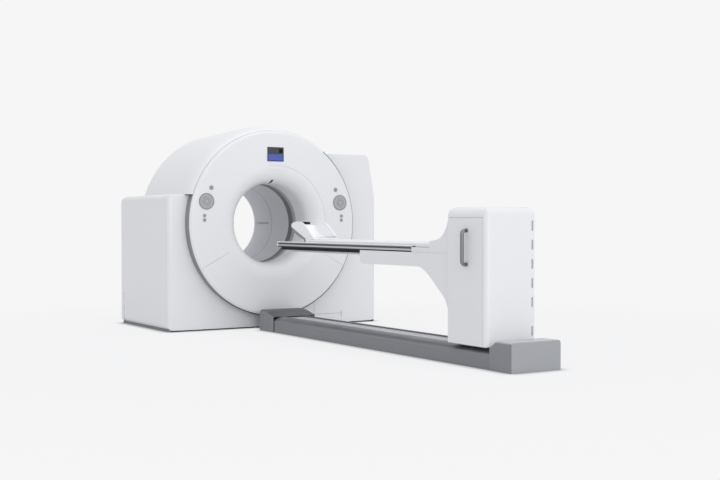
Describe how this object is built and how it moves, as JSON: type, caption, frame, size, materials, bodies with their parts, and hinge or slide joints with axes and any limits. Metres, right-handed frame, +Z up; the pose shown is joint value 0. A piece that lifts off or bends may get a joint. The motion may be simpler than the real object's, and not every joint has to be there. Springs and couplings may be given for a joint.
{
  "type": "pet-ct scanner",
  "caption": "Ring-shaped medical imaging scanner with a wide bore, side covers, a floor rail and a cantilevered patient table on a travelling column.",
  "frame": {"origin": "on the floor at the centre of the gantry's four anchor holes, under the bore axis", "axes": "+Z up, +Y along the bore from the patient table towards the rear of the gantry, +X towards the tall side cover"},
  "size_m": [2.308, 5.17, 1.973],
  "materials": {
    "cover_white": "satin",
    "shell_white": "satin",
    "trim_dark": "satin",
    "liner_grey": "satin",
    "window_dark": "satin",
    "gloss_black": "glossy",
    "screen": "glossy",
    "key_grey": "satin",
    "rail_grey": "satin",
    "rail_light": "satin",
    "steel_plate": "machined",
    "cast_housing": "machined",
    "ring_brass": "machined",
    "handle_alu": "satin",
    "rail_alu": "satin",
    "runner_black": "satin",
    "pad_white": "smooth vinyl"
  },
  "bodies": {
    "gantry": {"gantry_frame": "steel_plate", "levelling_feet": "steel_plate", "stator_plate": "cast_housing", "ring_motor": "cast_housing", "pet_detector_ring": "cast_housing", "trim_ring": "trim_dark", "drum_cover": "cover_white", "front_cover_upper": "cover_white", "front_cover_lower": "cover_white", "front_flare": "cover_white", "left_side_cover": "cover_white", "right_side_cover": "cover_white", "plinth_panel": "cover_white", "rear_cover": "cover_white", "scan_window": "window_dark", "front_liner": "liner_grey", "rear_liner": "liner_grey", "display_frame": "gloss_black", "display_screen": "screen", "laser_windows": "gloss_black", "left_keypad": "key_grey", "right_keypad": "key_grey", "speaker_inserts": "key_grey", "rail_frame": "steel_plate", "guide_rails": "steel_plate", "rail_top_cover": "rail_light", "rail_left_cover": "rail_grey", "rail_right_cover": "rail_grey", "gantry_block": "rail_grey", "rail_end_cap": "rail_grey", "travel_motor": "cast_housing"},
    "rotor": {"rotor_drum": "cast_housing", "xray_tube": "cast_housing", "ct_detector": "cast_housing", "hv_generator": "cast_housing", "slip_ring": "ring_brass"},
    "travel_screw": {"travel_screw": "steel_plate"},
    "column": {"carriage": "steel_plate", "column_mast": "steel_plate", "column_shell": "shell_white", "column_left_panel": "shell_white", "column_right_panel": "shell_white", "column_front_panel": "shell_white", "column_handles": "handle_alu", "lift_motor": "cast_housing"},
    "lift_screw": {"lift_screw": "steel_plate"},
    "arm": {"arm_frame": "steel_plate", "arm_cover": "cover_white", "pallet": "cover_white", "pallet_rails": "rail_alu", "pallet_runners": "runner_black", "mattress": "pad_white", "head_holder": "cover_white"},
    "left_key": {"left_key": "key_grey"},
    "right_key": {"right_key": "key_grey"},
    "left_button_upper": {"left_button_upper": "key_grey"},
    "left_button_lower": {"left_button_lower": "key_grey"},
    "right_button_upper": {"right_button_upper": "key_grey"},
    "right_button_lower": {"right_button_lower": "key_grey"}
  },
  "joints": [
    {"name": "rotor_spin", "type": "hinge", "parent": "gantry", "child": "rotor", "pos_m": [0, -0.2, 1.02], "axis": [0, 1, 0], "continuous": true},
    {"name": "column_travel", "type": "slide", "parent": "gantry", "child": "column", "axis": [0, 1, 0], "range_m": [0, 1.95]},
    {"name": "travel_screw_spin", "type": "hinge", "parent": "gantry", "child": "travel_screw", "pos_m": [0.072, -3, 0.075], "axis": [0, 1, 0], "range_deg": [-2, 35102]},
    {"name": "arm_lift", "type": "slide", "parent": "column", "child": "arm", "axis": [0, 0, 1], "range_m": [-0.165, 0]},
    {"name": "lift_screw_spin", "type": "hinge", "parent": "column", "child": "lift_screw", "pos_m": [0, -4.0075, 0.6], "axis": [0, 0, 1], "range_deg": [-5942, 2]},
    {"name": "left_key_press", "type": "slide", "parent": "gantry", "child": "left_key", "axis": [0, 1, 0], "range_m": [0, 0.002], "stiffness_N_per_m": 600},
    {"name": "right_key_press", "type": "slide", "parent": "gantry", "child": "right_key", "axis": [0, 1, 0], "range_m": [0, 0.002], "stiffness_N_per_m": 600},
    {"name": "left_button_upper_press", "type": "slide", "parent": "gantry", "child": "left_button_upper", "axis": [0, 1, 0], "range_m": [0, 0.002], "stiffness_N_per_m": 600},
    {"name": "left_button_lower_press", "type": "slide", "parent": "gantry", "child": "left_button_lower", "axis": [0, 1, 0], "range_m": [0, 0.002], "stiffness_N_per_m": 600},
    {"name": "right_button_upper_press", "type": "slide", "parent": "gantry", "child": "right_button_upper", "axis": [0, 1, 0], "range_m": [0, 0.002], "stiffness_N_per_m": 600},
    {"name": "right_button_lower_press", "type": "slide", "parent": "gantry", "child": "right_button_lower", "axis": [0, 1, 0], "range_m": [0, 0.002], "stiffness_N_per_m": 600}
  ],
  "couplings": [
    {"joint": "travel_screw_spin", "follows": "column_travel", "rad_per_m": 314.16},
    {"joint": "lift_screw_spin", "follows": "arm_lift", "rad_per_m": 628.32}
  ]
}
